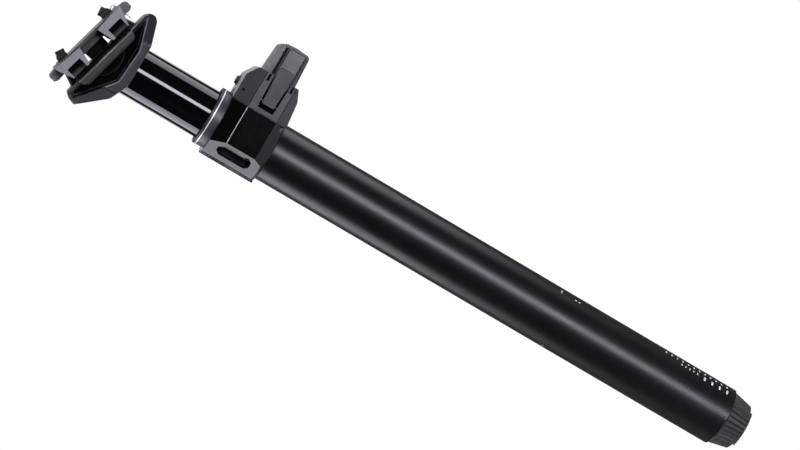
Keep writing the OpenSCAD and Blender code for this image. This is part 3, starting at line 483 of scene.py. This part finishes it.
def makeWorld(values):
    world = bpy.data.worlds.new("studioRoom")
    world.use_nodes = True
    bpy.context.scene.world = world
    tree = world.node_tree
    tree.nodes.clear()
    out = tree.nodes.new("ShaderNodeOutputWorld")
    light = tree.nodes.new("ShaderNodeLightPath")
    where = tree.nodes.new("ShaderNodeTexCoord")
    glow = tree.nodes.new("ShaderNodeBackground")
    glow.inputs["Color"].default_value = (1, 1, 1, 1)
    axis = tree.nodes.new("ShaderNodeVectorMath")  # how nearly a direction points to the wall behind
    axis.operation = "DOT_PRODUCT"
    axis.inputs[1].default_value = (0, 1, 0)
    tree.links.new(where.outputs["Generated"], axis.inputs[0])
    wall = tree.nodes.new("ShaderNodeMapRange")
    edge, softness = math.cos(math.radians(values["wallHalfAngle"])), values["wallSoftness"]
    for key, value in (("From Min", edge - softness), ("From Max", edge + softness),
                       ("To Min", values["roomGlow"]), ("To Max", 1)):
        wall.inputs[key].default_value = value
    tree.links.new(axis.outputs["Value"], wall.inputs["Value"])
    seen = tree.nodes.new("ShaderNodeMath")
    seen.operation = "MAXIMUM"
    tree.links.new(light.outputs["Is Camera Ray"], seen.inputs[0])
    tree.links.new(light.outputs["Is Transmission Ray"], seen.inputs[1])
    strength = tree.nodes.new("ShaderNodeMix")
    strength.inputs["B"].default_value = 1
    tree.links.new(seen.outputs["Value"], strength.inputs["Factor"])
    tree.links.new(wall.outputs["Result"], strength.inputs["A"])
    tree.links.new(strength.outputs["Result"], glow.inputs["Strength"])
    tree.links.new(glow.outputs["Background"], out.inputs["Surface"])


def makeFloor(values):
    mesh = bpy.data.meshes.new("studioFloor")
    low = cadBox[0][2] - values["floorDrop"] * mm
    reach = values["floorReach"]
    corners = [(-reach, -reach, low), (reach, -reach, low), (reach, reach, low), (-reach, reach, low)]
    mesh.from_pydata(corners, [], [(0, 1, 2, 3)])
    floor = bpy.data.objects.new("studioFloor", mesh)
    bpy.context.collection.objects.link(floor)
    material = bpy.data.materials.new("paleFloor")
    material.use_nodes = True
    tree = material.node_tree
    shader = tree.nodes["Principled BSDF"]
    shader.inputs["Base Color"].default_value = (values["floorColour"],) * 3 + (1,)
    shader.inputs["Roughness"].default_value = values["floorRough"]
    glow = tree.nodes.new("ShaderNodeEmission")
    glow.inputs["Strength"].default_value = values["floorGlow"]
    light = tree.nodes.new("ShaderNodeLightPath")
    seen = tree.nodes.new("ShaderNodeMath")  # the glow shows to the camera alone
    seen.operation = "MULTIPLY"
    seen.inputs[1].default_value = values["floorGlowShare"]
    tree.links.new(light.outputs["Is Camera Ray"], seen.inputs[0])
    mix = tree.nodes.new("ShaderNodeMixShader")
    tree.links.new(seen.outputs["Value"], mix.inputs["Fac"])
    tree.links.new(shader.outputs["BSDF"], mix.inputs[1])
    tree.links.new(glow.outputs["Emission"], mix.inputs[2])
    under = tree.nodes.new("ShaderNodeNewGeometry")
    clear = tree.nodes.new("ShaderNodeBsdfTransparent")
    sides = tree.nodes.new("ShaderNodeMixShader")  # seen from below, the floor is clear
    tree.links.new(under.outputs["Backfacing"], sides.inputs["Fac"])
    tree.links.new(mix.outputs["Shader"], sides.inputs[1])
    tree.links.new(clear.outputs["BSDF"], sides.inputs[2])
    tree.links.new(sides.outputs["Shader"], tree.nodes["Material Output"].inputs["Surface"])
    mesh.materials.append(material)


def makeLamps(values):
    for name, place, size, power, tint in values["lamps"]:
        data = bpy.data.lights.new(name, "AREA")
        data.shape = "RECTANGLE"
        data.size, data.size_y = size[0] * mm, size[1] * mm
        data.energy = power
        data.color = tint
        lamp = bpy.data.objects.new(name, data)
        stand = Vector([v * mm for v in place])
        beam = Vector(values["lampAim"]) - stand
        lamp.matrix_world = Matrix.Translation(stand) @ beam.to_track_quat("-Z", "Y").to_matrix().to_4x4()
        bpy.context.collection.objects.link(lamp)


makeWorld(studio)
makeFloor(studio)
makeLamps(studio)
bpy.context.scene.view_settings.view_transform = "Standard"
print("studio made")

# Head: yoke, rocker and upper clamp, with their forged edges rounded. "edge" is in mm, and an edge is rounded
# where its faces meet at more than "edgeAngle". A row of "faces" gives another finish to the faces within its
# limits, and a later row counts over an earlier one. Most of these rows, here and on the collar, box and
# battery, paint light or shade into the colour.

yokeSetup = {
    "edge": 0.8,
    "edgeAngle": 14,
    "faces": [
        # Painted highlight on the bevels and rear flanks, and painted shade on the walls of the pocket.
        ("paintedLightForgedEdge", {"facesZ": below(-0.3), "facesX": below(-0.3)}),  # under the rear end
        ("paintedLightForgedEdge", {"facesAside": (0.25, 0.9), "aside": above(14)}),  # bevels along the sides
        ("paintedLightForgedEdge", {"facesZ": above(0.2), "aside": above(9), "facesAside": below(0.95), "z": below(92)}),
        ("paintedLightFlank", {"facesX": below(-0.2), "facesAside": above(0.8)}),
        ("paintedShadeBlack", {"aside": below(13), "facesAside": above(0.985)}),  # walls of the pocket
    ],
}

rockerSetup = {
    "edge": 0.5,
    "edgeAngle": 14,
    "faces": [
        # Painted shade on the inner faces, and painted highlight on the top chamfers and rim.
        ("paintedShadeBlack", {"aside": below(20), "facesAside": above(0.9)}),
        ("paintedLightForgedEdge", {"facesZ": above(0.2), "facesAside": (0.2, 0.95), "aside": above(20)}),
        ("paintedLightForgedEdge", {"facesZ": above(0.9), "aside": (24.5, 27)}),
    ],
}

clampTopSetup = {
    "edge": 0.22,
    "edgeAngle": 14,
    "faces": [
        # Painted light and shade: lighter grip block sides and rear ear, a darker front ear, a web lit at the
        # top, shaded grooves.
        ("paintedLightClampFace", {"facesAside": above(0.6), "aside": above(26)}),  # outer sides of the grip blocks
        ("paintedLightClampFace", {"facesAside": above(0.5), "aside": below(9), "x": below(-19.5)}),  # rear ear
        ("paintedShadeEar", {"facesAside": above(0.5), "aside": below(9), "x": above(19.5)}),  # front ear
        ("webShade", {"facesAside": above(0.6), "aside": below(16), "x": (-15, 15)}),
        ("grooveShade", {"aside": (16.5, 26), "headHeight": below(103)}),  # rail grooves
    ],
}

roundedCopy("yokeForging", "yoke_head", "forgedBlack", "saddle_post", yokeSetup)
roundedCopy("clampRocker", "cradle", "forgedBlack", "clamp", rockerSetup)
roundedCopy("clampTop", "upper_clamp", "forgedBlack", "clamp", clampTopSetup)
print("head done")

# Collar, electronics box and battery

collarSetup = {
    "edge": 0.22,
    "edgeAngle": 12,
    "faces": [
        # Painted shade on the flat sides and the upper bevel, painted shading on the lower bevel, painted
        # highlight on the edge.
        ("paintedShadeAnodised", {"facesAside": above(0.9), "z": (5, 24)}),  # flat sides
        ("lowBevelAnodised", {"facesAside": above(0.5), "facesZ": below(-0.2)}),
        ("paintedShadeBlack", {"facesAside": above(0.4), "z": above(23.2)}),
        ("paintedHighlightEdge", {"z": (22, 23.3), "facesZ": (0.05, 0.6), "x": above(-8)}),
    ],
}

boxSetup = {
    "edge": 0.2,
    "edgeAngle": 12,
    "flatAngle": 4,
    "faces": [
        # Painted light on the box's top, and painted shade behind the latch.
        ("paintedLightBoxTop", {"facesZ": above(0.7), "z": above(25)}),
        ("paintedShadeBlack", {"x": (15.5, 34.5), "y": (-18.6, -15), "z": (9, 19.6)}),  # behind the latch
    ],
}

batterySetup = {
    "edge": 0.5,
    "edgeAngle": 12,
    # Painted light on a panel of the near side.
    "faces": [("paintedLightPanel", {"facesY": below(-0.9), "y": (-20, -14), "z": (10, 19)})],  # light panel
}

latchSetup = {"edge": 0.45, "edgeAngle": 12}
rearPlateSetup = {"edge": 0.25, "edgeAngle": 25}
batteryPlateSetup = {"edge": 0.3, "edgeAngle": 25}
lensHole = {"centre": (20.1, -16.816, 29), "axis": (0, -8.8, 3.1), "radius": 0.95}


def closeLensHole(form):  # the lens covers the hole, and the bevel needs an unbroken face round it
    centre, axis = Vector(lensHole["centre"]) * mm, Vector(lensHole["axis"]).normalized()
    near = {v for v in form.verts if (v.co - centre).cross(axis).length < lensHole["radius"] * mm}
    walls = [f for f in form.faces if all(v in near for v in f.verts)]
    bmesh.ops.delete(form, geom=walls, context="FACES")
    bmesh.ops.holes_fill(form, edges=[e for e in form.edges if e.is_boundary], sides=0)
    bmesh.ops.recalc_face_normals(form, faces=form.faces)


roundedCopy("collarShell", "collar_body", "glossAnodised", "post", collarSetup)
roundedCopy("rearPlate", "rear_cover", "boxPlastic", "post", rearPlateSetup)
roundedCopy("boxShell", "electronics_box", "boxPlastic", "post", boxSetup, edit=closeLensHole)
roundedCopy("batteryShell", "battery_case", "batteryPlastic", "battery", batterySetup)
roundedCopy("batteryPlate", "battery_cover", "capPlastic", "battery", batteryPlateSetup)
roundedCopy("latchArm", "latch", "latchPlastic", "latch", latchSetup)

# Painted shadow and highlight: dark strips on the battery's near side stand for the shadow lines along its
# grooves, and a bright strip on the box's top edge stands for the highlight that edge catches

shadowLines = {
    "proud": 0.04,
    "root": 0.2,
    "taper": 0.06,
    "rows": [
        # low corner and high corner (x, z), how far from the axis the surface lies, mm, and its lean inwards
        ((34.4, 19.65), (49.6, 20.35), 17.0, 0),
        ((34.4, 20.45), (49.4, 21.05), 16.95, 1),
        ((39.7, 18.5), (49.4, 19.35), 16.4, 0),
        ((39.7, 9.25), (49.4, 10.0), 16.4, 0),
    ],
}


def shadowLineMesh(setup):
    points, faces = [], []
    for low, high, out, lean in setup["rows"]:
        first = len(points)
        for inset, y in ((0, out - setup["root"]), (setup["taper"], out + setup["proud"])):
            for x, z in ((low[0] + inset, low[1] + inset), (high[0] - inset, low[1] + inset),
                         (high[0] - inset, high[1] - inset), (low[0] + inset, high[1] - inset)):
                points.append((x * mm, -(y - lean * (z - low[1])) * mm, z * mm))
        faces += [[first + k for k in face] for face in
                  ((0, 1, 2, 3), (7, 6, 5, 4), (0, 4, 5, 1), (1, 5, 6, 2), (2, 6, 7, 3), (3, 7, 4, 0))]
    return closedMesh("batterySeams", points, faces)


# A thin bright strip on the box's top edge next to the ring: a painted highlight.
rim = {
    "inner": 19.75,
    "outer": 20.45,
    "low": 31.5,
    "high": 31.65,
    "taper": 0.1,
    "reach": 44,  # degrees to each side of straight ahead
    "steps": 48,
}


def rimMesh(setup):
    inner, outer, low, high = (setup[key] for key in ("inner", "outer", "low", "high"))
    reach, taper, steps = (setup[key] for key in ("reach", "taper", "steps"))
    points, faces = [], []
    for k in range(steps + 1):
        a = math.radians(-reach + 2 * reach * k / steps)
        for r, z in ((inner, low), (outer, low), (outer - taper, high), (inner + taper, high)):
            points.append((r * math.cos(a) * mm, r * math.sin(a) * mm, z * mm))
    for i in range(0, 4 * steps, 4):
        faces += [(i + a, i + b, i + 4 + b, i + 4 + a) for a, b in ((0, 1), (1, 2), (2, 3), (3, 0))]
    faces += [(3, 2, 1, 0), tuple(4 * steps + k for k in range(4))]
    return closedMesh("boxRim", points, faces)


keepPiece("batterySeams", shadowLineMesh(shadowLines), "paintedShadeBlack", "battery", sharp=None)
keepPiece("boxRim", rimMesh(rim), "satinSilver", "post")
print("collar, box and battery done")

# One Geometry Nodes tree repeats a small shape along a line, turned about the post's axis


def makeRepeatTree():
    tree = bpy.data.node_groups.new("repeatAlong", "GeometryNodeTree")
    face = tree.interface
    face.new_socket("Geometry", in_out="OUTPUT", socket_type="NodeSocketGeometry")
    for name, kind in (("Unit", "Object"), ("Count", "Int"), ("Start", "Vector"), ("Step", "Vector"),
                       ("Turn", "Float"), ("Finish", "Material")):
        face.new_socket(name, in_out="INPUT", socket_type="NodeSocket" + kind)
    nodes, links = tree.nodes, tree.links
    into, out = nodes.new("NodeGroupInput"), nodes.new("NodeGroupOutput")
    line = nodes.new("GeometryNodeMeshLine")
    unit = nodes.new("GeometryNodeObjectInfo")
    spread = nodes.new("GeometryNodeInstanceOnPoints")
    angle = nodes.new("ShaderNodeCombineXYZ")
    whole = nodes.new("GeometryNodeRealizeInstances")
    paintIt = nodes.new("GeometryNodeSetMaterial")
    links.new(into.outputs["Count"], line.inputs["Count"])
    links.new(into.outputs["Start"], line.inputs["Start Location"])
    links.new(into.outputs["Step"], line.inputs["Offset"])
    links.new(into.outputs["Unit"], unit.inputs["Object"])
    links.new(line.outputs["Mesh"], spread.inputs["Points"])
    links.new(unit.outputs["Geometry"], spread.inputs["Instance"])
    links.new(into.outputs["Turn"], angle.inputs["Z"])
    links.new(angle.outputs["Vector"], spread.inputs["Rotation"])
    links.new(spread.outputs["Instances"], whole.inputs["Geometry"])
    links.new(whole.outputs["Geometry"], paintIt.inputs["Geometry"])
    links.new(into.outputs["Finish"], paintIt.inputs["Material"])
    links.new(paintIt.outputs["Geometry"], out.inputs["Geometry"])
    return tree


repeatTree = makeRepeatTree()


def repeated(name, unitMesh, count, pitch, low, finish, body, turn=0, place=None, sharp=30):
    unit = bpy.data.objects.new(name + "Unit", unitMesh)
    bpy.context.collection.objects.link(unit)
    holder = bpy.data.objects.new(name + "Holder", bpy.data.meshes.new(name + "Holder"))
    bpy.context.collection.objects.link(holder)
    modifier = holder.modifiers.new("repeatAlong", "NODES")
    modifier.node_group = repeatTree
    values = {"Unit": unit, "Count": count, "Start": [0.0, 0.0, low * mm], "Step": [0.0, 0.0, pitch * mm],
              "Turn": math.radians(turn), "Finish": paint[finish]}
    for item in repeatTree.interface.items_tree:
        if item.in_out == "INPUT":
            modifier[item.identifier] = values[item.name]
    bpy.context.view_layer.update()
    solid = evaluatedMesh(holder)
    solid.name = name
    if place:
        solid.transform(place)
    bpy.data.objects.remove(holder)
    bpy.data.objects.remove(unit)
    return keepPiece(name, solid, None, body, sharp=sharp)


# Painted depth marks low on the tube: plain ticks that follow its curve

depthMarks = {
    "radius": 15.83,
    "thick": 0.02,
    "steps": 6,
    "rows": [
        # name, width and height of one tick (mm), lowest height, count, pitch, angle from the photographed side
        ("lowTicks", (2.6, 1.0), -268.5, 4, 4.6, 52),
        ("shortTicks", (1.3, 0.7), -250, 5, 2.4, 55),
        ("edgeTicks", (1.6, 0.8), -268, 12, 3.4, 67),
        ("upperTicks", (0.9, 0.9), -177.5, 2, 2.2, 60),
        ("depthLine", (2.8, 0.45), -166.5, 1, 1, 62),
        ("backLine", (1.6, 0.5), -172.5, 1, 1, -72),
    ],
}


def tickMesh(width, height, setup):
    mesh = bpy.data.meshes.new("tick")
    radius, steps = setup["radius"], setup["steps"]
    half = width / radius / 2
    points, faces = [], []
    for r in (radius - setup["thick"], radius):
        for z in (0, height):
            for k in range(steps + 1):
                a = -half + 2 * half * k / steps
                points.append((r * mm * math.sin(a), -r * mm * math.cos(a), z * mm))
    n = steps + 1
    for k in range(steps):
        faces.append((2 * n + k, 2 * n + k + 1, 3 * n + k + 1, 3 * n + k))
        faces.append((k + 1, k, n + k, n + k + 1))
        faces.append((k, k + 1, 2 * n + k + 1, 2 * n + k))
        faces.append((n + k + 1, n + k, 3 * n + k, 3 * n + k + 1))
    faces.append((0, 2 * n, 3 * n, n))
    faces.append((n - 1, 2 * n - 1, 4 * n - 1, 3 * n - 1))
    mesh.from_pydata(points, [], faces)
    return mesh


for name, (width, height), low, count, pitch, angle in depthMarks["rows"]:
    repeated(name, tickMesh(width, height, depthMarks), count, pitch, low, "paintedMark", "post",
             turn=angle, sharp=None)
print("depth marks done")

# Clamp bolts: thread turns on the bare shanks, and the spring wires that keep the barrel nuts in place

boltSetup = {
    "tiltHeight": 100.4,
    "tilt": 15,
    "nutAlong": 15.5,
    "nutUp": 11,
    "splay": 19,
    "shank": 2.5,
    "threadProud": 0.14,
    "threadRoot": 0.1,
    "threadCrest": 0.06,
    "threadFoot": 0.32,  # half the turn's width at its foot, as a share of the pitch
    "threadPitch": 0.8,
    "threadLow": -16,
    "threadCount": 15,
    "threadSteps": 40,
}


def tiltedPoint(along, across, up):
    a = math.radians(boltSetup["tilt"])
    return Vector((along * math.cos(a) + up * math.sin(a), across,
                   boltSetup["tiltHeight"] - along * math.sin(a) + up * math.cos(a)))


def boltPlace(end):
    centre = tiltedPoint(end * boltSetup["nutAlong"], 0, boltSetup["nutUp"]) * mm
    lean = math.radians(boltSetup["tilt"] - end * boltSetup["splay"])
    return Matrix.Translation(centre) @ Matrix.Rotation(lean, 4, "Y")


def threadUnit(setup):  # one closed ring, with the section of a ridge
    root, crown = setup["shank"] - setup["threadRoot"], setup["shank"] + setup["threadProud"]
    foot, crest, steps = setup["threadPitch"] * setup["threadFoot"], setup["threadCrest"], setup["threadSteps"]
    section = [(root, -foot), (crown, -crest), (crown, crest), (root, foot)]
    points, faces = [], []
    for ring, (radius, height) in enumerate(section):
        low, high = ring * steps, (ring + 1) % len(section) * steps
        for k in range(steps):
            a, n = 2 * math.pi * k / steps, (k + 1) % steps
            points.append((radius * math.cos(a) * mm, radius * math.sin(a) * mm, height * mm))
            faces.append((low + k, low + n, high + n, high + k))
    return closedMesh("threadUnit", points, faces)


for name, end, body in (("frontThread", 1, "front_bolt"), ("rearThread", -1, "rear_bolt")):
    repeated(name, threadUnit(boltSetup), boltSetup["threadCount"], boltSetup["threadPitch"],
             boltSetup["threadLow"], "boltBlack", body, place=boltPlace(end))

nutWires = {
    "roundness": 3,
    "order": 3,
    "routes": {
        # radius of the wire, and its points along, across and up on the tilted clamp, mm
        "frontWire": (0.3, [(18, -3.4, 10.2), (18.6, -3.5, 11.6), (20.5, -3.6, 12.3), (21.6, -3.6, 11.4),
                            (21.2, -3.4, 10.2)]),
        "frontWireLow": (0.3, [(21.6, -3, 5), (22.6, -3.2, 3.6), (23.2, -3.2, 2.2), (22.6, -3, 1.2)]),
        "rearWire": (0.35, [(-18.2, -3.4, 10.2), (-18.8, -3.5, 10.9), (-19.6, -3.6, 11.2), (-20.2, -3.4, 10.2)]),
    },
}


def wireMesh(name, points, radius, setup):
    curve = bpy.data.curves.new(name, "CURVE")
    curve.dimensions = "3D"
    curve.bevel_depth = radius * mm
    curve.bevel_resolution = setup["roundness"]
    curve.use_fill_caps = True
    spline = curve.splines.new("NURBS")
    spline.points.add(len(points) - 1)
    for point, place in zip(spline.points, points):
        point.co = (*(place * mm), 1)
    spline.use_endpoint_u = True
    spline.order_u = setup["order"]
    holder = bpy.data.objects.new(name + "Path", curve)
    bpy.context.collection.objects.link(holder)
    bpy.context.view_layer.update()
    mesh = evaluatedMesh(holder)
    mesh.name = name
    bpy.data.objects.remove(holder)
    return mesh


for name, (radius, route) in nutWires["routes"].items():
    wire = wireMesh(name, [tiltedPoint(*point) for point in route], radius, nutWires)
    keepPiece(name, wire, "bareMetal", "clamp", sharp=60)
print("bolts and wires done")
